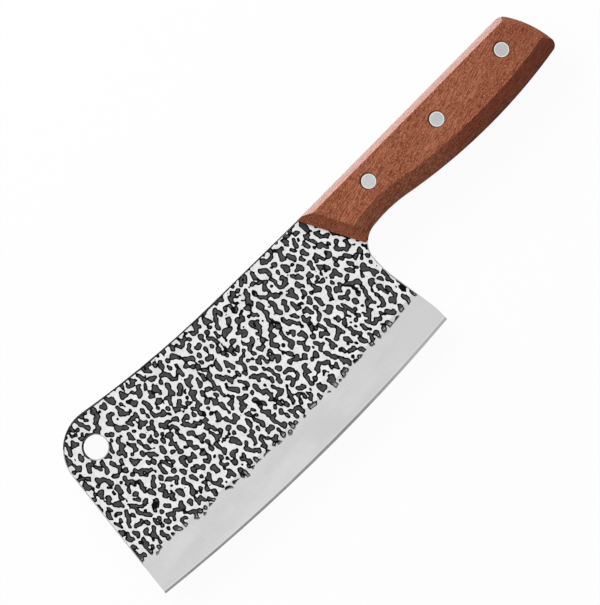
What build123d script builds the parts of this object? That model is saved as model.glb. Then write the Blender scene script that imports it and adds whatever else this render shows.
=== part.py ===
from build123d import *
from math import asin, cos, degrees, radians, sin, sqrt, tan
import os

# A cleaver in the Chinese pattern, lying flat: X runs from the toe to the butt of the handle,
# Y from the cutting edge to the spine, and Z up through the knife's own thickness.
# Every outline is drawn from the toe corner of the cutting edge, and the drawing plane then
# puts the origin under the middle of the whole knife.

# Blade outline
blade_length = 178.0
spine_height = 79.3
edge_belly = 4.3
toe_lean = 5.8
nose_radius = 20.0
nose_rise = 6.1
nose_slope_run = 80.2

# Heel and choil
heel_setback = 4.5
heel_shoulder_height = 7.4
heel_shoulder_radius = 30.0
heel_waist_drop = 7.9
heel_waist_radius = 40.0
choil_radius = 11.3

# Grip outline, measured back from the heel and down from the spine
grip_reach = 122.2
finger_reach = 15.3
finger_drop = 25.2
finger_radius = 71.0
belly_reach = 71.8
belly_drop = 29.9
butt_rise = 2.5
butt_rake = 10.0
butt_bulge = 2.3
butt_upper_radius = 5.7
butt_lower_radius = 3.6

# Blade thickness and grinding
blade_thickness = 2.8
grind_width = 19.5
bevel_width = 1.35
bevel_thickness = 0.6
edge_land = 0.1
rim_chamfer = 0.4

# Hanging hole
hole_radius = 5.65
hole_reach = 23.7
hole_drop = 9.8
hole_chamfer = 0.4

# Wooden scales, measured forward from the heel and down from the spine
scale_thickness = 8.5
scale_top_lead = 17.7
scale_bottom_lead = 2.4
scale_bottom_drop = 28.7
top_chamfer_width = 2.7
top_chamfer_depth = 2.7
lower_chamfer_width = 7.5
lower_chamfer_depth = 4.0
front_chamfer_width = 5.7
front_chamfer_depth = 4.5
butt_chamfer_width = 2.2
butt_chamfer_depth = 2.2

# Rivets: a pin pressed into a sleeve, each with its own head
head_radius = 3.55
head_thickness = 1.4
head_chamfer = 0.15
head_recess = 0.1
sleeve_radius = 2.4
pin_radius = 1.5
fit_clearance = 0.05
pin_end_gap = 0.6
rivet_reach_shares = (0.146, 0.486, 0.836)
rivet_drop_shares = (0.393, 0.448, 0.367)

# How far each cutting shape runs past what it cuts
overrun = 5.0

# Cutting edge: an arc through the toe and heel corners
edge_radius = (blade_length**2 / 4 + edge_belly**2) / (2 * edge_belly)
edge_center = Vector(blade_length / 2, edge_radius - edge_belly)

# Nose: an arc that touches the leaning toe and the long hollow slope of the spine
nose_center_y = spine_height + nose_rise - nose_radius
nose_center_x = nose_center_y * tan(radians(toe_lean)) + nose_radius / cos(radians(toe_lean))
nose_center = Vector(nose_center_x, nose_center_y)
toe_touch = nose_center + Vector(-cos(radians(toe_lean)), sin(radians(toe_lean))) * nose_radius
slope_radius = (nose_slope_run**2 + nose_rise**2) / (2 * nose_rise) - nose_radius
slope_end = Vector(nose_center_x + nose_slope_run, spine_height)
slope_center = slope_end + Vector(0, slope_radius)
slope_touch = nose_center + (slope_center - nose_center).normalized() * nose_radius

# Choil, finger rest and belly: three arcs, each touching the next
heel_back_x = blade_length - heel_setback
finger_crest = Vector(blade_length + finger_reach, spine_height - finger_drop)
finger_center = finger_crest - Vector(0, finger_radius)
choil_center_x = heel_back_x + choil_radius
choil_offset = finger_center.X - choil_center_x
choil_center_y = finger_center.Y + sqrt((finger_radius - choil_radius)**2 - choil_offset**2)
choil_center = Vector(choil_center_x, choil_center_y)
choil_touch = finger_center + (choil_center - finger_center).normalized() * finger_radius
belly_run = belly_reach - finger_reach
belly_fall = belly_drop - finger_drop
belly_radius = (belly_run**2 + belly_fall**2) / (2 * belly_fall) - finger_radius
belly_bottom = Vector(blade_length + belly_reach, spine_height - belly_drop)
belly_center = belly_bottom + Vector(0, belly_radius)
belly_touch = finger_center + (belly_center - finger_center).normalized() * finger_radius

# Butt: a bulged end between two rounded corners
butt_lower_x = blade_length + grip_reach
butt_lower_y = belly_center.Y - sqrt(belly_radius**2 - (butt_lower_x - belly_center.X)**2)
butt_lower = Vector(butt_lower_x, butt_lower_y)
butt_upper = Vector(butt_lower_x - butt_rake, spine_height + butt_rise)
butt_length = (butt_upper - butt_lower).length
butt_arc_radius = (butt_length**2 / 4 + butt_bulge**2) / (2 * butt_bulge)

# Upper and lower front corners of the scales
scale_top = Vector(blade_length - scale_top_lead, spine_height)
scale_bottom = Vector(blade_length - scale_bottom_lead, spine_height - scale_bottom_drop)

# Levels above the surface that the knife lies on
blade_bottom = scale_thickness
blade_middle = blade_bottom + blade_thickness / 2
blade_top = blade_bottom + blade_thickness
knife_top = blade_top + scale_thickness

# Places in the drawing
hole_place = Vector(hole_reach, spine_height - hole_drop)
rivet_places = [
    Vector(blade_length + grip_reach * reach_share, spine_height - finger_drop * drop_share)
    for reach_share, drop_share in zip(rivet_reach_shares, rivet_drop_shares)
]


def point_on_arc(center, radius, first, last):
    """Middle point of the short arc from first to last about center."""
    middle = (first + last) / 2
    return center + (middle - center).normalized() * radius


# Outline of the blade and its full tang, with both corners of the butt still sharp
with BuildSketch() as sharp_outline:
    with BuildLine():
        Line((0, 0), toe_touch)
        nose_middle = point_on_arc(nose_center, nose_radius, toe_touch, slope_touch)
        ThreePointArc(toe_touch, nose_middle, slope_touch)
        slope_middle = point_on_arc(slope_center, slope_radius, slope_touch, slope_end)
        ThreePointArc(slope_touch, slope_middle, slope_end)
        Line(slope_end, scale_top)
        Line(scale_top, butt_upper)
        RadiusArc(butt_upper, butt_lower, butt_arc_radius)
        belly_middle = point_on_arc(belly_center, belly_radius, butt_lower, belly_touch)
        ThreePointArc(butt_lower, belly_middle, belly_touch)
        finger_middle = point_on_arc(finger_center, finger_radius, belly_touch, choil_touch)
        ThreePointArc(belly_touch, finger_middle, choil_touch)
        choil_start = choil_center - Vector(choil_radius, 0)
        choil_middle = point_on_arc(choil_center, choil_radius, choil_touch, choil_start)
        ThreePointArc(choil_touch, choil_middle, choil_start)
        heel_waist = Vector(heel_back_x, choil_center.Y - heel_waist_drop)
        heel_shoulder = Vector(blade_length, heel_shoulder_height)
        Polyline(choil_start, heel_waist, heel_shoulder, (blade_length, 0))
        edge_middle = edge_center - Vector(0, edge_radius)
        ThreePointArc((blade_length, 0), edge_middle, (0, 0))
    make_face()
    fillet(sharp_outline.vertices().sort_by_distance(heel_waist)[0], heel_waist_radius)
    fillet(sharp_outline.vertices().sort_by_distance(heel_shoulder)[0], heel_shoulder_radius)

# The same outline with the corners of the butt rounded
with BuildSketch() as knife_outline:
    add(sharp_outline.sketch)
    fillet(knife_outline.vertices().sort_by_distance(butt_upper)[0], butt_upper_radius)
    fillet(knife_outline.vertices().sort_by_distance(butt_lower)[0], butt_lower_radius)

# Drawing plane: it puts the middle of the whole outline over the origin
outline_middle = knife_outline.sketch.bounding_box().center()
drawing = Plane((-outline_middle.X, -outline_middle.Y, 0))


def on_knife(place, level):
    """A place in the drawing as a point of the finished knife."""
    return drawing.offset(level).from_local_coords(place)


# What the scales cover: everything behind their slanted front edge
with BuildSketch() as scale_cover:
    front_direction = (scale_top - scale_bottom).normalized()
    cover_top = scale_top + front_direction * (nose_rise + butt_rise + overrun)
    cover_end_x = butt_lower_x + overrun
    with BuildLine():
        Polyline(
            scale_bottom,
            cover_top,
            (cover_end_x, cover_top.Y),
            (cover_end_x, 0),
            (choil_center.X, 0),
            (choil_center.X, scale_bottom.Y),
            close=True,
        )
    make_face()

# Blade with its full tang
with BuildPart() as blade:
    with BuildSketch(drawing.offset(blade_bottom)):
        add(knife_outline.sketch)
    extrude(amount=blade_thickness)

    # Chamfered rim on both faces, and the tang left square between the scales
    chamfer(blade.edges().group_by(Axis.Z)[-1] + blade.edges().group_by(Axis.Z)[0], rim_chamfer)
    with BuildSketch(drawing.offset(blade_bottom)):
        add(knife_outline.sketch)
        add(scale_cover.sketch, mode=Mode.INTERSECT)
    extrude(amount=blade_thickness)

    # Ground faces: two cones a side about the center of the cutting edge's arc
    half_angle = asin(blade_length / 2 / edge_radius) + overrun / edge_radius
    start_direction = Vector(-sin(half_angle), -cos(half_angle), 0)
    for side in (1, -1):
        grind_plane = Plane(
            origin=on_knife(edge_center, blade_middle),
            x_dir=start_direction,
            z_dir=start_direction.cross(Vector(0, 0, 1)),
        )
        grind_start = edge_radius - grind_width
        with BuildSketch(grind_plane):
            with BuildLine():
                Polyline(
                    (grind_start, side * blade_thickness / 2),
                    (edge_radius - bevel_width, side * bevel_thickness / 2),
                    (edge_radius, side * edge_land / 2),
                    (edge_radius + overrun, side * edge_land / 2),
                    (edge_radius + overrun, side * (blade_thickness + overrun)),
                    (grind_start, side * (blade_thickness + overrun)),
                    close=True,
                )
            make_face()
        revolve(
            axis=Axis(on_knife(edge_center, 0), (0, 0, 1)),
            revolution_arc=2 * degrees(half_angle),
            mode=Mode.SUBTRACT,
        )

    # Hanging hole, chamfered on both faces
    with Locations(on_knife(hole_place, blade_top)):
        CounterSinkHole(hole_radius, hole_radius + hole_chamfer, counter_sink_angle=90)
    with Locations(Plane(on_knife(hole_place, blade_bottom), z_dir=(0, 0, -1))):
        CounterSinkHole(hole_radius, hole_radius + hole_chamfer, counter_sink_angle=90)

    # Rivet holes through the tang
    with Locations(*[on_knife(place, blade_top) for place in rivet_places]):
        Hole(sleeve_radius + fit_clearance)

# Front scale, its outer face and edges bevelled
with BuildPart() as front_scale:
    with BuildSketch(drawing.offset(blade_top)):
        add(sharp_outline.sketch)
        add(scale_cover.sketch, mode=Mode.INTERSECT)
    extrude(amount=scale_thickness)

    # Narrow chamfer along the top
    outer_face = front_scale.faces().sort_by(Axis.Z)[-1]
    top_edge = outer_face.edges().sort_by(Axis.Y)[-1]
    chamfer(top_edge, top_chamfer_width, top_chamfer_depth, reference=outer_face)

    # Bevel towards the blade
    outer_face = front_scale.faces().sort_by(Axis.Z)[-1]
    front_edge = outer_face.edges().sort_by(Axis.X)[0]
    chamfer(front_edge, front_chamfer_width, front_chamfer_depth, reference=outer_face)

    # Wide chamfer along the finger rest and belly
    outer_face = front_scale.faces().sort_by(Axis.Z)[-1]
    lower_limit = on_knife(scale_bottom, 0).Y + lower_chamfer_width
    lower_edges = outer_face.edges().filter_by(lambda e: e.center().Y < lower_limit)
    chamfer(lower_edges, lower_chamfer_width, lower_chamfer_depth, reference=outer_face)

    # Narrow chamfer across the butt
    outer_face = front_scale.faces().sort_by(Axis.Z)[-1]
    butt_edge = outer_face.edges().sort_by(Axis.X)[-1]
    chamfer(butt_edge, butt_chamfer_width, butt_chamfer_depth, reference=outer_face)

    # Rounded corners of the butt
    with BuildSketch(drawing.offset(blade_top)):
        add(knife_outline.sketch)
    extrude(amount=scale_thickness, mode=Mode.INTERSECT)

    # Stepped holes for the rivets
    with Locations(*[on_knife(place, knife_top) for place in rivet_places]):
        CounterBoreHole(
            radius=sleeve_radius + fit_clearance,
            counter_bore_radius=head_radius + fit_clearance,
            counter_bore_depth=head_recess + head_thickness + fit_clearance,
        )

# Rear scale: the front scale mirrored through the middle of the blade
with BuildPart() as rear_scale:
    mirror(front_scale.part, about=Plane.XY.offset(blade_middle))

blade.part.label = "blade"
front_scale.part.label = "front_scale"
rear_scale.part.label = "rear_scale"
pieces = [blade.part, front_scale.part, rear_scale.part]

# Rivets: pins from the front and sleeves from the rear, one pair at each place
pin_head_top = knife_top - head_recess
pin_head_bottom = pin_head_top - head_thickness
sleeve_head_top = head_recess + head_thickness
sleeve_length = pin_head_bottom - fit_clearance - sleeve_head_top
for number, place in enumerate(rivet_places, start=1):
    with BuildPart() as rivet_pin:
        with BuildSketch(drawing.offset(pin_head_bottom)):
            with Locations(place):
                Circle(head_radius)
        extrude(amount=head_thickness)
        chamfer(rivet_pin.edges().group_by(Axis.Z)[-1], head_chamfer)
        with BuildSketch(drawing.offset(pin_head_bottom)):
            with Locations(place):
                Circle(pin_radius)
        extrude(amount=-(sleeve_length - pin_end_gap))

    with BuildPart() as rivet_sleeve:
        with BuildSketch(drawing.offset(head_recess)):
            with Locations(place):
                Circle(head_radius)
        extrude(amount=head_thickness)
        chamfer(rivet_sleeve.edges().group_by(Axis.Z)[0], head_chamfer)
        with BuildSketch(drawing.offset(sleeve_head_top)):
            with Locations(place):
                Circle(sleeve_radius)
                Circle(pin_radius + fit_clearance, mode=Mode.SUBTRACT)
        extrude(amount=sleeve_length)

    rivet_pin.part.label = f"rivet_pin_{number}"
    rivet_sleeve.part.label = f"rivet_sleeve_{number}"
    pieces += [rivet_pin.part, rivet_sleeve.part]

os.makedirs("parts", exist_ok=True)
for piece in pieces:
    export_step(piece, f"parts/{piece.label}.step")
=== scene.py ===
import math

import bmesh
import bpy
import numpy as np
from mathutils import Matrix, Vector
from mathutils.geometry import delaunay_2d_cdt


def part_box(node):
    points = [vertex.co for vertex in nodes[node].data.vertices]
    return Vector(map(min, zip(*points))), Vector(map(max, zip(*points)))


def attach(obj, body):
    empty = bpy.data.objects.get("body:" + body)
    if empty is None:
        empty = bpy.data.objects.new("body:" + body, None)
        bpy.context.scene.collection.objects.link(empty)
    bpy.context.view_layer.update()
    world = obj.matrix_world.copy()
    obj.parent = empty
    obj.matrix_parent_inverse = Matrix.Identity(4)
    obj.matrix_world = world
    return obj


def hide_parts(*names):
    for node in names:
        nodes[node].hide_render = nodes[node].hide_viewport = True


# A cleaver in the Chinese pattern, lying on its side. X runs from the toe to the butt, Y from the
# cutting edge to the spine. Lengths are in millimetres here and turn into metres in the meshes.

MM = 0.001

# Blade faces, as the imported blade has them
face_middle = 9.9
face_half = 1.4
grind_centre = np.array((-60.99, 878.36))
grind_radius = 903.66
grind_slope = 0.0606
bevel_radius = 921.81

hole_centre = np.array((-126.29, 28.95))
hole_reach = 7.0
hole_shade = np.array((0.64, -0.77))

# Cast pattern of the blade, with a dark scale line along the spine and round the nose, and painted shade as a
# dark line round the half of the hole that faces away from the light
pattern_pitch = 0.43
pattern_margin = 2
pattern_right = 34
pattern_top = 47
pattern_depth = 0.14
pattern_depth_spread = 0.04
pattern_depth_width = 1.6
nearest_crossing = 0.08
wall_width = 1.0
rim_wall_width = 0.4
rim_strip = 0.12
corner_strip = 0.6
thinnest_face = 0.0005
spine_line = 0.15
spine_line_spread = 0.15
spine_line_width = 4
spine_line_facing = 0.57
spine_line_turn = 0.2
nose_line = 0.15
nose_line_end = -80.0
nose_line_fade = 20.0
# Painted shade: the dark line round the hole runs only on the half that faces away from the light
hole_line = 0.35
hole_line_facing = 0.25
hole_line_turn = 0.3
thinnest_line = 0.03
scale_overlap = 0.8
scale_front = ((10.3, 38.75), (25.6, 10.05))
tang_start = 30.0

# How the sunk islands grow out of noise: each draws in what is near and keeps off what is further
island_lean = 6.0
seed_width = 0.45
near_width = 0.212
near_stretch = 1.36
far_width = 2.26
far_stretch = 0.9
far_weight = 1.22
growth = 1.55
growth_steps = 4
bias = -0.8
bias_spread = 0.063
bias_width = 1.8
softness = 0.27
evenness = 0.125
looseness = 0.146
roughness = 0.1
rough_width = 0.4
island_share = 0.545
edge_share = 0.1
front_seed = 27
rear_seed = 34

tiny = 1e-12
most = 0.5

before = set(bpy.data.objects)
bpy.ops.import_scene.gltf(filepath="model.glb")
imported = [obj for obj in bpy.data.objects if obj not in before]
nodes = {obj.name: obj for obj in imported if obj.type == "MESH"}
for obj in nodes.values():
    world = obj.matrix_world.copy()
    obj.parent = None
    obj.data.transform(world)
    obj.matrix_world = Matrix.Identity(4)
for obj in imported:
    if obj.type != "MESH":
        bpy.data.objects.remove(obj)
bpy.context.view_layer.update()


# Pattern field

def smooth(field, pitch, width, length=None, lean=0.0):
    """Blur of a field by its spectrum, with its own width and length on leaning axes."""
    rows, columns = field.shape
    along = np.fft.rfftfreq(columns, pitch)[None, :] * 2 * np.pi
    across = np.fft.fftfreq(rows, pitch)[:, None] * 2 * np.pi
    turn = math.radians(lean)
    sideways = along * math.cos(turn) + across * math.sin(turn)
    lengthways = across * math.cos(turn) - along * math.sin(turn)
    keep = np.exp(-((sideways * width) ** 2 + (lengthways * (length or width)) ** 2) / 2)
    return np.fft.irfft2(np.fft.rfft2(field) * keep, s=field.shape)


def drift(random, shape, pitch, width):
    """Smooth noise with a mean of zero and a spread of one."""
    noise = smooth(random.standard_normal(shape), pitch, width)
    return noise / noise.std()


def islands(random, shape, pitch):
    """A field that is positive in the sunk islands and rises by about one for each millimetre."""
    field = smooth(random.standard_normal(shape), pitch, seed_width, seed_width * near_stretch, island_lean)
    field = field / field.std()
    leaning = bias_spread * drift(random, shape, pitch, bias_width)
    for _ in range(growth_steps):
        near = smooth(field, pitch, near_width, near_width * near_stretch, island_lean)
        far = smooth(field, pitch, far_width, far_width * far_stretch, island_lean)
        push = near - far_weight * far
        field = np.tanh(growth * push / push.std() + bias + leaning)
    far = smooth(field, pitch, far_width, far_width * far_stretch, island_lean)
    field = smooth(field, pitch, softness) - evenness * far + looseness * leaning
    steep = np.hypot(*np.gradient(field, pitch))
    usual = np.median(steep[np.abs(field - np.quantile(field, 1 - island_share)) < edge_share * field.std()])
    field = field / usual + roughness * drift(random, shape, pitch, rough_width)
    return field - np.quantile(field, 1 - island_share)


def segment_distance(points, starts, ends):
    """Distance from each point to the nearest of the segments."""
    nearest = np.full(len(points), np.inf)
    for start, end in zip(starts, ends):
        run = end - start
        share = np.clip((points - start) @ run / max(run @ run, tiny), 0, 1)
        gap = points - start - share[:, None] * run
        nearest = np.minimum(nearest, np.hypot(gap[:, 0], gap[:, 1]))
    return nearest


def inside(points, starts, ends):
    """Whether each point lies inside the loops that the segments make."""
    crossings = np.zeros(len(points), int)
    for start, end in zip(starts, ends):
        between = (start[1] > points[:, 1]) != (end[1] > points[:, 1])
        if not between.any():
            continue
        rise = end[1] - start[1]
        crossing_x = start[0] + (points[:, 1] - start[1]) / (rise if rise else 1) * (end[0] - start[0])
        crossings += between & (points[:, 0] < crossing_x)
    return crossings % 2 == 1


def ground_drop(x, y):
    """How far the ground band lies below the flat of the blade."""
    return np.maximum(0, np.hypot(x - grind_centre[0], y - grind_centre[1]) - grind_radius) * grind_slope


class Pattern:
    """The sunk pattern of one side of the blade, as a field that is positive in the islands."""

    def __init__(self, seed, starts, ends):
        random = np.random.default_rng(seed)
        low = np.minimum(starts.min(0), ends.min(0)) - pattern_margin
        self.left, self.low = low
        self.pitch = pattern_pitch
        columns = int((pattern_right - self.left) / self.pitch)
        rows = int((pattern_top - self.low) / self.pitch)
        across = self.left + self.pitch * np.arange(columns)
        x, y = np.meshgrid(across, self.low + self.pitch * np.arange(rows))
        uneven = drift(random, x.shape, self.pitch, pattern_depth_width)
        self.depth_grid = pattern_depth + pattern_depth_spread * uneven
        field = islands(random, x.shape, self.pitch)
        field = np.minimum(field, (self.depth_grid - ground_drop(x, y)) / grind_slope)
        front, back = np.array(scale_front)
        along = (back - front) / np.hypot(*(back - front))
        beyond = (x - front[0]) * -along[1] + (y - front[1]) * along[0]
        self.islands = np.minimum(field, scale_overlap - beyond)

        points = np.column_stack((x.ravel(), y.ravel()))
        rim = segment_distance(points, starts, ends)
        rim = np.where(inside(points, starts, ends), rim, -rim).reshape(x.shape)
        self.line = np.maximum(0, self.line_width(random, x, y, rim))
        corner = np.minimum(np.hypot(x - front[0], y - front[1]), np.hypot(x - back[0], y - back[1]))
        strip = np.maximum(rim_strip + self.line, corner_strip - corner / 2)
        field = np.minimum(self.islands, rim * wall_width / rim_wall_width)
        field = np.maximum(field, strip - rim)
        self.field = np.maximum(field, np.minimum(x - tang_start, wall_width / 2))

    def line_width(self, random, x, y, rim):
        """Width of the dark line along the spine, the nose and the shaded half of the hole."""
        facing = -np.gradient(rim, self.pitch)[0]
        width = spine_line + spine_line_spread * drift(random, x.shape, self.pitch, spine_line_width)
        width += nose_line * np.clip((nose_line_end - x) / nose_line_fade, 0, 1)
        width *= np.clip((facing - spine_line_facing) / spine_line_turn, 0, 1) * (x < scale_front[0][0])
        # Painted shade: round the hole the line runs only on the half that faces away from the light.
        away = np.hypot(x - hole_centre[0], y - hole_centre[1])
        turned = ((hole_centre[0] - x) * hole_shade[0] + (hole_centre[1] - y) * hole_shade[1]) / away
        shaded = np.clip((turned - hole_line_facing) / hole_line_turn, 0, 1)
        return np.where(away < hole_reach, hole_line * shaded, width)

    def sample(self, grid, points):
        """A grid's value at each point, between its four nearest nodes."""
        column = (points[:, 0] - self.left) / self.pitch
        row = (points[:, 1] - self.low) / self.pitch
        i = np.clip(column.astype(int), 0, grid.shape[1] - 2)
        j = np.clip(row.astype(int), 0, grid.shape[0] - 2)
        u = np.clip(column - i, 0, 1)
        v = np.clip(row - j, 0, 1)
        lower = grid[j, i] * (1 - u) + grid[j, i + 1] * u
        upper = grid[j + 1, i] * (1 - u) + grid[j + 1, i + 1] * u
        return lower * (1 - v) + upper * v

    def contour(self, level):
        """Points and index pairs of the line where the field crosses the level."""
        field = self.field
        above = field > level
        rows, columns = field.shape
        flat = above[:, :-1] != above[:, 1:]
        tall = above[:-1] != above[1:]
        flat_id = np.where(flat, np.cumsum(flat).reshape(flat.shape) - 1, -1)
        tall_id = np.where(tall, flat.sum() + np.cumsum(tall).reshape(tall.shape) - 1, -1)
        j, i = np.nonzero(flat)
        share = (level - field[j, i]) / (field[j, i + 1] - field[j, i])
        share = np.clip(share, nearest_crossing, 1 - nearest_crossing)
        flat_points = np.column_stack((self.left + (i + share) * self.pitch, self.low + j * self.pitch))
        j, i = np.nonzero(tall)
        share = (level - field[j, i]) / (field[j + 1, i] - field[j, i])
        share = np.clip(share, nearest_crossing, 1 - nearest_crossing)
        tall_points = np.column_stack((self.left + i * self.pitch, self.low + (j + share) * self.pitch))
        sides = np.stack((flat_id[:-1], tall_id[:, 1:], flat_id[1:], tall_id[:, :-1]), axis=-1).reshape(-1, 4)
        count = (sides >= 0).sum(1)
        pair = sides[count == 2]
        pairs = [pair[pair >= 0].reshape(-1, 2)]
        middle = (field[:-1, :-1] + field[:-1, 1:] + field[1:, :-1] + field[1:, 1:]) / 4 > level
        joined = (middle == above[:-1, :-1]).ravel()
        saddle = sides[(count == 4) & joined]
        pairs += [saddle[:, (0, 1)], saddle[:, (2, 3)]]
        saddle = sides[(count == 4) & ~joined]
        pairs += [saddle[:, (0, 3)], saddle[:, (1, 2)]]
        return np.vstack((flat_points, tall_points)), np.vstack(pairs)


# Blade, with its finishes in the order of its materials

RAISED, WALL, SUNK, GROUND, BEVEL, DARK_RIM, RIM = range(7)

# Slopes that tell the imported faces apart, as cosines of the tilt from level
flat_slope = math.cos(math.radians(0.5))
broad_slope = math.cos(math.radians(5))
bevel_slope = math.cos(math.radians(20))

upright_normal = 0.1
hole_dark_facing = 0.35
spine_dark_facing = 0.7
join_distance = 1e-6
cut_tolerance = 1e-5


def plan(vertex):
    """A vertex seen from above, in millimetres."""
    return np.array((vertex.co.x, vertex.co.y)) / MM


def leading(parents, item):
    """The item that stands for a whole joined group."""
    while parents[item] != item:
        parents[item] = parents[parents[item]]
        item = parents[item]
    return item


def regions(faces, edges, fixed, count):
    """Groups of triangles that no fixed line divides, as one number for each triangle."""
    walls = {tuple(sorted(edge)) for edge, given in zip(edges, fixed) if given}
    parents = list(range(count))
    seen = {}
    for index, face in enumerate(faces):
        for a, b in ((face[0], face[1]), (face[1], face[2]), (face[2], face[0])):
            edge = (a, b) if a < b else (b, a)
            if edge in walls:
                continue
            if edge in seen:
                parents[leading(parents, index)] = leading(parents, seen[edge])
            else:
                seen[edge] = index
    return np.array([leading(parents, index) for index in range(count)])


def cast_side(bm, side, seed, remains):
    """Cuts the pattern into one broad side of the blade, between its rim and its edge bevel."""
    broad = {face for face in bm.faces if face.normal.z * side > broad_slope}
    level = {face for face in broad if face.normal.z * side > flat_slope}
    rim_edges = [edge for edge in bm.edges if sum(face in broad for face in edge.link_faces) == 1]
    inner_edges = [edge for edge in bm.edges if all(face in broad for face in edge.link_faces)]
    grind_edges = [edge for edge in inner_edges if sum(face in level for face in edge.link_faces) == 1]
    kept = list(dict.fromkeys(vertex for edge in rim_edges for vertex in edge.verts))
    line = [vertex for edge in grind_edges for vertex in edge.verts]
    line = [vertex for vertex in dict.fromkeys(line) if vertex not in kept]
    known = {vertex: index for index, vertex in enumerate(kept + line)}
    points = [plan(vertex) for vertex in kept + line]
    pairs = [[known[vertex] for vertex in edge.verts] for edge in rim_edges + grind_edges]
    starts = np.array([plan(edge.verts[0]) for edge in rim_edges])
    ends = np.array([plan(edge.verts[1]) for edge in rim_edges])
    pattern = Pattern(seed, starts, ends)
    for height in (0, wall_width):
        more, joints = pattern.contour(height)
        pairs += (joints + len(points)).tolist()
        points += list(more)

    cut = delaunay_2d_cdt([Vector(point) for point in points], pairs, [], 0, cut_tolerance)
    spots = np.array([tuple(spot) for spot in cut[0]])
    faces = np.array(cut[2])
    group = regions(cut[2], cut[1], [len(given) > 0 for given in cut[4]], len(faces))
    corners = spots[faces]
    centres = corners.mean(1)
    one = corners[:, 1] - corners[:, 0]
    two = corners[:, 2] - corners[:, 0]
    area = np.abs(one[:, 0] * two[:, 1] - one[:, 1] * two[:, 0])
    longest = np.hypot(*np.moveaxis(corners - np.roll(corners, 1, axis=1), 2, 0)).max(1)
    reach = pattern.sample(pattern.field, centres)
    in_band = np.hypot(*(centres - grind_centre).T) > grind_radius
    in_outline = inside(centres, starts, ends)

    def held(flags):
        """Share of each triangle's group that has the flag, by area."""
        whole = np.bincount(group, area, len(faces))
        part = np.bincount(group, area * flags, len(faces))
        return (part / np.maximum(whole, tiny))[group]

    solid = held(area > thinnest_face * longest) > 0
    wanted = solid & (held(in_outline) > most)
    surface = np.where(held(in_band) > most, GROUND, RAISED)
    finish = np.where(held(reach > 0) > most, WALL, surface)
    strip = (finish == WALL) & (pattern.sample(pattern.islands, centres) <= 0)
    lined = pattern.sample(pattern.line, centres) > thinnest_line
    finish = np.where(strip, np.where(lined, DARK_RIM, surface), finish)
    finish = np.where(held(reach > wall_width) > most, SUNK, finish)

    drop = ground_drop(spots[:, 0], spots[:, 1])
    depth = pattern.sample(pattern.depth_grid, spots)
    left_over = np.maximum(0, depth - drop)
    share = np.clip(pattern.sample(pattern.field, spots) / wall_width, 0, 1)
    height = face_half - drop - share * left_over

    bmesh.ops.delete(bm, geom=list(broad), context="FACES_ONLY")
    bmesh.ops.delete(bm, geom=[edge for edge in bm.edges if not edge.link_faces], context="EDGES")
    corner_of = {}
    for index, given in enumerate(cut[3]):
        old = [source for source in given if source < len(kept)]
        if old:
            corner_of[index] = kept[old[0]]
    for triangle, name in zip(faces[wanted], finish[wanted]):
        ring = []
        for index in triangle:
            if index not in corner_of:
                made = bm.verts.new((spots[index][0] * MM, spots[index][1] * MM,
                                     (face_middle + side * height[index]) * MM))
                made[remains] = left_over[index] / depth[index]
                corner_of[index] = made
            ring.append(corner_of[index])
        new = bm.faces.new(ring if side > 0 else ring[::-1])
        new.material_index = int(name)


def is_dark(face):
    """Whether a rim face is dark: dark scale along the spine and the nose, and painted shade on the side of
    the hole that faces away from the light.
    """
    flat = face.normal.xy
    if flat.length < upright_normal:
        return False
    flat.normalize()
    middle = face.calc_center_median().xy / MM
    # Painted shade: the hole's rim is dark on the side that faces away from the light.
    if (middle - Vector(hole_centre)).length < hole_reach:
        return flat.dot(Vector(hole_shade)) > hole_dark_facing
    return flat.y > spine_dark_facing and middle.x < scale_front[0][0]


def cast_blade():
    """The blade with a sunk cast pattern on both sides, ground away along the cutting edge."""
    bm = bmesh.new()
    bm.from_mesh(nodes["blade"].data)
    bmesh.ops.remove_doubles(bm, verts=bm.verts, dist=join_distance)
    bm.normal_update()
    remains = bm.verts.layers.float.new("remains")
    for face in bm.faces:
        tilt = abs(face.normal.z)
        if bevel_slope < tilt < broad_slope:
            face.material_index = BEVEL
        else:
            face.material_index = DARK_RIM if is_dark(face) else RIM
    cast_side(bm, 1, front_seed, remains)
    bm.normal_update()
    cast_side(bm, -1, rear_seed, remains)
    bm.normal_update()
    for face in bm.faces:
        face.smooth = False
    mesh = bpy.data.meshes.new("cast_blade")
    bm.to_mesh(mesh)
    bm.free()
    return bpy.data.objects.new("cast_blade", mesh)


# Materials

# Where a tone changes along the knife, from one X to another
ground_heel = (-25, 15)
bevel_heel = (-40, 10)
bevel_toe = (-120, -40)
# Painted shade: the rivets, the lower chamfer and the butt darken along these, and a painted shadow line runs
# along the lower edge from the third
rivet_shade_fall = (40, 135)
low_chamfer_shade_fall = (50, 115)
low_edge_shadow_start = (65, 85)
butt_shade_fall = (120, 150)

# Where it changes across the bevel's upper line
pale_line_span = (bevel_radius - 0.7, bevel_radius - 0.2)
upper_bevel = (bevel_radius + 0.1, bevel_radius + 0.5)

# Where it changes away from the middle of the knife's thickness, or from the middle of a rivet
# The painted sheen on the upper chamfer spreads between these distances from the middle of the thickness
sheen_chamfer_reach = (7.4, 9.3)
# A painted highlight ring on each rivet head, and a painted shadow ring in the wood round each rivet, shifted
# toward the light
head_highlight_ring = (2.8, 3.2)
rivet_shadow_ring = (3.55, 4.2)
rivet_shadow_shift = Vector((-0.15, 0.32, 0))

grain_lean = -14


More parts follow.
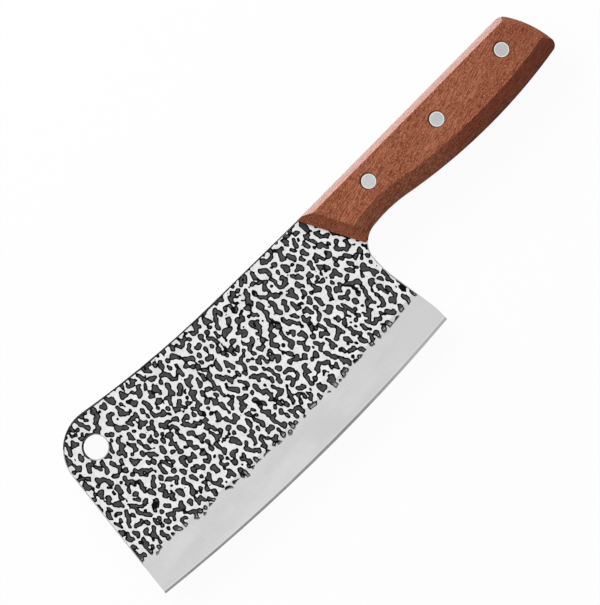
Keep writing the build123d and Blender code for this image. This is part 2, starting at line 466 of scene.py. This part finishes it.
class Finish:
    """A node material while it is put together."""

    def __init__(self, name, metallic, **sockets):
        self.material = bpy.data.materials.new(name)
        self.material.use_nodes = True
        self.tree = self.material.node_tree
        self.shader = self.tree.nodes["Principled BSDF"]
        self.shader.inputs["Metallic"].default_value = metallic
        for socket, value in sockets.items():
            self.shader.inputs[socket.replace("_", " ")].default_value = value

    def add(self, kind, feeds, **settings):
        """A new node with its settings, and with a value or a link for each named input."""
        node = self.tree.nodes.new(kind)
        for name, value in settings.items():
            setattr(node, name, value)
        for socket, value in feeds.items():
            self.feed(node.inputs[socket], value)
        return node

    def feed(self, socket, value):
        """Gives an input its value, or links it if the value is another node's output."""
        if isinstance(value, bpy.types.NodeSocket):
            self.tree.links.new(value, socket)
        else:
            socket.default_value = value

    def place(self, stretch, turn=0):
        """Object coordinates in millimetres, divided by a stretch along each axis."""
        spot = self.add("ShaderNodeTexCoord", {}).outputs["Object"]
        turned = self.add("ShaderNodeMapping", {"Vector": spot, "Rotation": (0, 0, math.radians(turn))})
        feeds = {0: turned.outputs[0], 1: [1 / (MM * length) for length in stretch]}
        return self.add("ShaderNodeVectorMath", feeds, operation="MULTIPLY").outputs[0]

    def spot(self):
        """Object coordinates, as separate X, Y and Z."""
        spot = self.add("ShaderNodeTexCoord", {}).outputs["Object"]
        return self.add("ShaderNodeSeparateXYZ", {"Vector": spot}).outputs

    def noise(self, spot, detail, roughness):
        """A cloudy pattern about 0.5, one unit of the place to each cloud."""
        feeds = {"Vector": spot, "Scale": 1.0, "Detail": detail, "Roughness": roughness}
        return self.add("ShaderNodeTexNoise", feeds).outputs["Fac"]

    def spread(self, value, low, high, to_low=0.0, to_high=1.0):
        """The value's place between low and high, eased and moved to new limits."""
        feeds = {"Value": value, "From Min": low, "From Max": high, "To Min": to_low, "To Max": to_high}
        return self.add("ShaderNodeMapRange", feeds, interpolation_type="SMOOTHSTEP").outputs["Result"]

    def between(self, value, ends, to_low=0.0, to_high=1.0):
        """Spread of a length between two ends given in millimetres."""
        return self.spread(value, ends[0] * MM, ends[1] * MM, to_low, to_high)

    def math(self, operation, one, two):
        """Two numbers put together by one operation."""
        return self.add("ShaderNodeMath", {0: one, 1: two}, operation=operation).outputs[0]

    def product(self, one, two):
        """One number times the other."""
        return self.math("MULTIPLY", one, two)

    def size(self, value):
        """A number without its sign."""
        return self.math("ABSOLUTE", value, 0)

    def blend(self, one, share, two):
        """Two patterns added up, the first by its share and the second by the rest."""
        return self.math("ADD", self.product(one, share), self.product(two, 1 - share))

    def mix(self, share, one, two):
        """The first colour, turning into the second as the share rises to one."""
        node = self.add("ShaderNodeMix", {}, data_type="RGBA")
        self.feed(node.inputs["Factor"], share)
        self.feed(node.inputs[6], one)
        self.feed(node.inputs[7], two)
        return node.outputs[2]

    def nearest(self, centres):
        """Distance from the nearest of the centres, seen from above."""
        spot = self.add("ShaderNodeTexCoord", {}).outputs["Object"]
        spot = self.add("ShaderNodeVectorMath", {0: spot, 1: (1, 1, 0)}, operation="MULTIPLY").outputs[0]
        least = None
        for centre in centres:
            flat = (centre[0], centre[1], 0)
            gap = self.add("ShaderNodeVectorMath", {0: spot, 1: flat}, operation="DISTANCE").outputs["Value"]
            least = gap if least is None else self.math("MINIMUM", least, gap)
        return least

    def finish(self, shade, roughness, height, rise, strength):
        """The material, with its colour, its roughness and bumps up to a rise in millimetres."""
        self.feed(self.shader.inputs["Base Color"], shade)
        self.feed(self.shader.inputs["Roughness"], roughness)
        bump = self.add("ShaderNodeBump", {"Height": height, "Distance": rise * MM, "Strength": strength})
        self.feed(self.shader.inputs["Normal"], bump.outputs[0])
        return self.material


def grey(level):
    """A grey from its screen level out of 255."""
    share = level / 255
    linear = share / 12.92 if share < 0.04045 else ((share + 0.055) / 1.055) ** 2.4
    return (linear, linear, linear, 1)


def colour(red, green, blue):
    """A colour from its three screen levels out of 255."""
    return tuple(grey(level)[0] for level in (red, green, blue)) + (1,)


def raised_steel():
    """The bright cast skin that stands between the sunk islands."""
    steel = Finish("raised_steel", 1.0)
    mottle = steel.noise(steel.place((4, 4, 4)), 4, 0.6)
    fine = steel.noise(steel.place((0.6, 0.6, 0.6)), 3, 0.6)
    tone = steel.blend(mottle, 0.6, fine)
    shade = steel.mix(steel.spread(tone, 0.35, 0.65), grey(221), grey(241))
    return steel.finish(shade, steel.spread(fine, 0.3, 0.7, 0.24, 0.38), fine, 0.01, 0.25)


def ground_steel():
    """The satin band that is ground bare above the edge bevel."""
    steel = Finish("ground_steel", 1.0)
    broad = steel.noise(steel.place((30, 12, 12)), 3, 0.5)
    lines = steel.noise(steel.place((0.7, 14, 14)), 3, 0.5)
    tone = steel.blend(broad, 0.9, lines)
    shade = steel.mix(steel.spread(tone, 0.35, 0.65), grey(205), grey(215))
    place = steel.spot()["X"]
    shade = steel.mix(steel.between(place, ground_heel, 0.0, 0.5), shade, grey(198))
    reach = steel.nearest([grind_centre * MM])
    # A pale line along the upper line of the bevel.
    pale_line = steel.between(reach, pale_line_span, 0.0, 0.45)
    shade = steel.mix(pale_line, shade, grey(226))
    return steel.finish(shade, steel.spread(lines, 0.3, 0.7, 0.27, 0.3), lines, 0.002, 0.03)


def sunk_steel():
    """The dull grey floor of an island, paler where grinding has left little of it."""
    steel = Finish("sunk_steel", 0.0, Specular_IOR_Level=0.1)
    coarse = steel.noise(steel.place((1.5, 1.5, 1.5)), 4, 0.65)
    fine = steel.noise(steel.place((0.4, 0.4, 0.4)), 3, 0.6)
    dark = steel.mix(steel.spread(coarse, 0.35, 0.65), grey(66), grey(86))
    left = steel.add("ShaderNodeAttribute", {}, attribute_name="remains").outputs["Fac"]
    wear_and_sheen = steel.math("ADD", left, steel.product(fine, 0.3))
    shade = steel.mix(steel.spread(wear_and_sheen, 0.6, 1.1), grey(172), dark)
    return steel.finish(shade, steel.spread(coarse, 0.3, 0.7, 0.65, 0.85), fine, 0.05, 0.6)


def shaded_wall_steel():
    """The slope round an island, painted near black as shade over its dark scale, paler where grinding has
    left little of it.
    """
    steel = Finish("shaded_wall_steel", 0.0, Specular_IOR_Level=0.05)
    fine = steel.noise(steel.place((0.5, 0.5, 0.5)), 3, 0.6)
    # Painted shade: the slope is near black, darker than the island's floor.
    dark = steel.mix(steel.spread(fine, 0.35, 0.65), grey(8), grey(18))
    left = steel.add("ShaderNodeAttribute", {}, attribute_name="remains").outputs["Fac"]
    shade = steel.mix(steel.spread(left, 0.0, 0.4), grey(140), dark)
    return steel.finish(shade, steel.spread(fine, 0.3, 0.7, 0.6, 0.8), fine, 0.03, 0.5)


def bevel_steel():
    """The edge bevel, brighter to the heel and along its upper line at the toe."""
    steel = Finish("bevel_steel", 1.0)
    lines = steel.noise(steel.place((0.25, 3, 3)), 4, 0.6)
    broad = steel.noise(steel.place((18, 18, 18)), 2, 0.5)
    tone = steel.blend(lines, 0.5, broad)
    shade = steel.mix(steel.spread(tone, 0.35, 0.65), grey(130), grey(154))
    place = steel.spot()["X"]
    shade = steel.mix(steel.between(place, bevel_heel, 0.0, 0.9), shade, grey(176))
    reach = steel.nearest([grind_centre * MM])
    upper = steel.between(reach, upper_bevel, 1.0, 0.0)
    upper = steel.product(upper, steel.between(place, bevel_toe, 0.9, 0.1))
    shade = steel.mix(upper, shade, grey(215))
    return steel.finish(shade, steel.spread(lines, 0.3, 0.7, 0.2, 0.32), lines, 0.006, 0.3)


def rim_steel(name, metallic, low, high):
    """The narrow faces round the blade and the tang, between two greys."""
    steel = Finish(name, metallic, Specular_IOR_Level=0.03)
    lines = steel.noise(steel.place((0.8, 0.8, 0.3)), 4, 0.6)
    shade = steel.mix(steel.spread(lines, 0.35, 0.65), grey(low), grey(high))
    return steel.finish(shade, steel.spread(lines, 0.3, 0.7, 0.55, 0.8), lines, 0.02, 0.4)


def rivet_steel(centres):
    """The rivet heads, with a painted highlight as a pale ring near the rim, and painted shade that darkens
    them toward the butt.
    """
    steel = Finish("rivet_steel", 1.0)
    gap = steel.nearest(centres)
    fine = steel.noise(steel.place((0.3, 0.3, 0.3)), 4, 0.6)
    cloud = steel.noise(steel.place((2.5, 2.5, 2.5)), 3, 0.5)
    tone = steel.blend(fine, 0.5, cloud)
    shade = steel.mix(steel.spread(tone, 0.35, 0.65), colour(191, 194, 195), colour(207, 210, 210))
    place = steel.spot()["X"]
    # Painted shade: the rivets darken toward the butt.
    shade = steel.mix(steel.between(place, rivet_shade_fall, 0.0, 0.5), shade, grey(176))
    # Painted highlight: a pale ring near the rim of each head.
    shade = steel.mix(steel.between(gap, head_highlight_ring, 0.0, 0.9), shade, colour(240, 233, 228))
    return steel.finish(shade, steel.spread(fine, 0.3, 0.7, 0.3, 0.45), fine, 0.01, 0.3)


def handle_wood(centres):
    """Reddish brown wood with leaning grain, with painted sheen on its upper chamfer, painted shade on its
    lower chamfer and toward the butt, a painted shadow line along its lower edge, and painted shadow rings
    round the rivets.
    """
    wood = Finish("handle_wood", 0.0, Specular_IOR_Level=0.15)
    band = wood.noise(wood.place((45, 8, 8), grain_lean), 3, 0.55)
    fibre = wood.noise(wood.place((6.5, 0.5, 0.5), grain_lean), 1, 0.5)
    pore = wood.noise(wood.place((3.6, 0.44, 0.44), grain_lean), 1, 0.5)
    fleck = wood.noise(wood.place((1.1, 0.38, 0.38), grain_lean), 2, 0.6)
    shade = wood.mix(wood.spread(band, 0.38, 0.62), colour(153, 84, 56), colour(171, 101, 73))
    shade = wood.mix(wood.spread(fibre, 0.4, 0.62, 0.0, 0.65), shade, colour(114, 46, 20))
    shade = wood.mix(wood.spread(fleck, 0.48, 0.62, 0.0, 0.65), shade, colour(200, 139, 110))
    shade = wood.mix(wood.spread(pore, 0.52, 0.64, 0.0, 0.6), shade, colour(88, 28, 6))
    spot = wood.spot()
    place = spot["X"]
    normal = wood.add("ShaderNodeNewGeometry", {}).outputs["Normal"]
    normal = wood.add("ShaderNodeSeparateXYZ", {"Vector": normal}).outputs
    facing = normal["Y"]
    level = wood.size(normal["Z"])
    # The grain is evened out where the wood faces the spine.
    shade = wood.mix(wood.spread(facing, 0.3, 0.6, 0.0, 0.45), shade, colour(148, 86, 62))
    side = wood.size(wood.math("SUBTRACT", spot["Z"], face_middle * MM))
    # Painted sheen: paler, greyer colour on the outer part of the upper chamfer, which faces the light.
    wear_and_sheen = wood.product(wood.spread(facing, 0.3, 0.6), wood.spread(level, 0.2, 0.5))
    wear_and_sheen = wood.product(wear_and_sheen, wood.between(side, sheen_chamfer_reach, 0.6, 0.0))
    shade = wood.mix(wear_and_sheen, shade, colour(150, 118, 106))
    # Painted shade: the lower chamfer, which faces away from the light, darkens toward the butt.
    lower_shade = wood.product(wood.spread(facing, -0.1, -0.4), wood.between(place, low_chamfer_shade_fall, 0.1, 0.6))
    shade = wood.mix(lower_shade, shade, colour(96, 28, 4))
    # Painted shadow: a near black line along the lower edge toward the butt.
    edge = wood.product(wood.spread(facing, -0.53, -0.63), wood.between(place, low_edge_shadow_start, 0.0, 0.95))
    edge = wood.product(edge, wood.spread(level, 0.1, 0.25))
    shade = wood.mix(edge, shade, colour(20, 8, 4))
    # Painted shade: the wood darkens toward the butt.
    shade = wood.mix(wood.between(place, butt_shade_fall, 0.0, 0.3), shade, colour(96, 40, 22))
    # Painted shadow: a dark ring round each rivet, shifted toward the light.
    gap = wood.nearest([centre + rivet_shadow_shift * MM for centre in centres])
    shade = wood.mix(wood.between(gap, rivet_shadow_ring, 0.9, 0.0), shade, colour(44, 20, 14))
    height = wood.math("SUBTRACT", fibre, wood.spread(pore, 0.55, 0.75))
    end_grain = wood.spread(wood.size(normal["X"]), 0.1, 0.35, 0.0, 0.5)
    gloss = wood.math("ADD", wood.spread(fibre, 0.3, 0.7, 0.29, 0.35), end_grain)
    return wood.finish(shade, gloss, height, 0.03, 0.08)


# Pieces

edge_softness = 0.55
soft_segments = 3
sharp_angle = math.radians(18)

rivet_centres = []
for number in (1, 2, 3):
    low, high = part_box("rivet_pin_%d" % number)
    rivet_centres.append((low + high) / 2)

blade = cast_blade()
bpy.context.scene.collection.objects.link(blade)
# dark_rim carries the dark scale along the spine and the nose, and the painted shade round half the hole.
for material in (raised_steel(), shaded_wall_steel(), sunk_steel(), ground_steel(), bevel_steel(),
                 rim_steel("dark_rim", 0.0, 30, 58), rim_steel("plain_rim", 0.9, 182, 206)):
    blade.data.materials.append(material)
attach(blade, "root")
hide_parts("blade")


def dress(node, material):
    """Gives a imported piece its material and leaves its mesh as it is."""
    for slot in node.material_slots:
        slot.link = "OBJECT"
        slot.material = material


wood = handle_wood(rivet_centres)
for name in ("front_scale", "rear_scale"):
    scale = nodes[name]
    dress(scale, wood)
    weld = scale.modifiers.new("weld", "WELD")
    weld.merge_threshold = join_distance
    soften = scale.modifiers.new("soften", "BEVEL")
    soften.width = edge_softness * MM
    soften.segments = soft_segments
    soften.limit_method = "ANGLE"
    soften.angle_limit = sharp_angle
    soften.harden_normals = True

steel = rivet_steel(rivet_centres)
for number in (1, 2, 3):
    dress(nodes["rivet_pin_%d" % number], steel)
    dress(nodes["rivet_sleeve_%d" % number], steel)


# Studio, in metres

floor_half = 3.0
floor_level = -0.0002
floor_tone = 0.86
floor_white = 0.95
ambient = 0.32


def paper(name, half, level):
    """A square sheet that lies level."""
    mesh = bpy.data.meshes.new(name)
    corners = [(-half, -half, level), (half, -half, level), (half, half, level), (-half, half, level)]
    mesh.from_pydata(corners, [], [(0, 1, 2, 3)])
    sheet = bpy.data.objects.new(name, mesh)
    bpy.context.scene.collection.objects.link(sheet)
    return sheet


def seen_directly(tree):
    """One for camera, mirror and see-through rays, zero for the rays that carry light."""
    path = tree.nodes.new("ShaderNodeLightPath")
    total = path.outputs["Is Camera Ray"]
    for ray in ("Is Glossy Ray", "Is Transmission Ray"):
        larger = tree.nodes.new("ShaderNodeMath")
        larger.operation = "MAXIMUM"
        tree.links.new(total, larger.inputs[0])
        tree.links.new(path.outputs[ray], larger.inputs[1])
        total = larger.outputs[0]
    return total


def white_floor():
    """Paper that looks evenly white, but passes light on to the knife as matt paper does."""
    material = bpy.data.materials.new("floor")
    material.use_nodes = True
    tree = material.node_tree
    tree.nodes.clear()
    matt = tree.nodes.new("ShaderNodeBsdfDiffuse")
    matt.inputs["Color"].default_value = (floor_tone, floor_tone, floor_tone, 1)
    glow = tree.nodes.new("ShaderNodeEmission")
    glow.inputs["Strength"].default_value = 1.0
    share = tree.nodes.new("ShaderNodeMath")
    share.operation = "MULTIPLY"
    share.inputs[1].default_value = floor_white
    tree.links.new(seen_directly(tree), share.inputs[0])
    blend = tree.nodes.new("ShaderNodeMixShader")
    tree.links.new(share.outputs[0], blend.inputs[0])
    tree.links.new(matt.outputs[0], blend.inputs[1])
    tree.links.new(glow.outputs[0], blend.inputs[2])
    out = tree.nodes.new("ShaderNodeOutputMaterial")
    tree.links.new(blend.outputs[0], out.inputs["Surface"])
    return material


floor = paper("floor", floor_half, floor_level)
floor.data.materials.append(white_floor())

world = bpy.data.worlds.new("studio")
world.use_nodes = True
bpy.context.scene.world = world
strength = world.node_tree.nodes.new("ShaderNodeMapRange")
strength.inputs["To Min"].default_value = ambient
strength.inputs["To Max"].default_value = 1.0
world.node_tree.links.new(seen_directly(world.node_tree), strength.inputs["Value"])
background = world.node_tree.nodes["Background"]
background.inputs["Color"].default_value = (1, 1, 1, 1)
world.node_tree.links.new(strength.outputs["Result"], background.inputs["Strength"])


def soft_lamp(name, height, bearing, distance, wide, tall, power):
    """A soft box that faces the knife from a height and a bearing, both in degrees."""
    light = bpy.data.lights.new(name, "AREA")
    light.shape = "RECTANGLE"
    light.size = wide
    light.size_y = tall
    light.energy = power
    lamp = bpy.data.objects.new(name, light)
    bpy.context.scene.collection.objects.link(lamp)
    rise = math.radians(height)
    turn = math.radians(bearing)
    away = Vector((math.cos(rise) * math.cos(turn), math.cos(rise) * math.sin(turn), math.sin(rise)))
    lamp.location = away * distance
    lamp.rotation_euler = away.to_track_quat("Z", "Y").to_euler()
    return lamp


# The key lamp doesn't show in gloss, and the low sheen lamp shows only in the gloss of the wood
key = soft_lamp("key", height=36, bearing=90, distance=1.3, wide=1.2, tall=0.9, power=20)
key.visible_glossy = False
sheen = soft_lamp("sheen", height=5, bearing=90, distance=1.3, wide=1.2, tall=0.4, power=60)
sheen.visible_diffuse = False
handle = bpy.data.collections.new("handle")
for name in ("front_scale", "rear_scale"):
    handle.objects.link(nodes[name])
sheen.light_linking.receiver_collection = handle

lens = 300.0
sensor = 36.0
photo_scale = 0.4525
photo_height = 605
view_centre = (-14.49, 11.33)
view_turn = math.radians(-44.29)
camera_data = bpy.data.cameras.new("camera")
camera_data.lens = lens
camera_data.sensor_width = sensor
camera = bpy.data.objects.new("camera", camera_data)
bpy.context.scene.collection.objects.link(camera)
distance = photo_scale * photo_height * lens / sensor
camera.location = (view_centre[0] * MM, view_centre[1] * MM, (face_middle + face_half + distance) * MM)
camera.rotation_euler = (0, 0, view_turn)
bpy.context.scene.camera = camera

bpy.context.scene.view_settings.view_transform = "Standard"
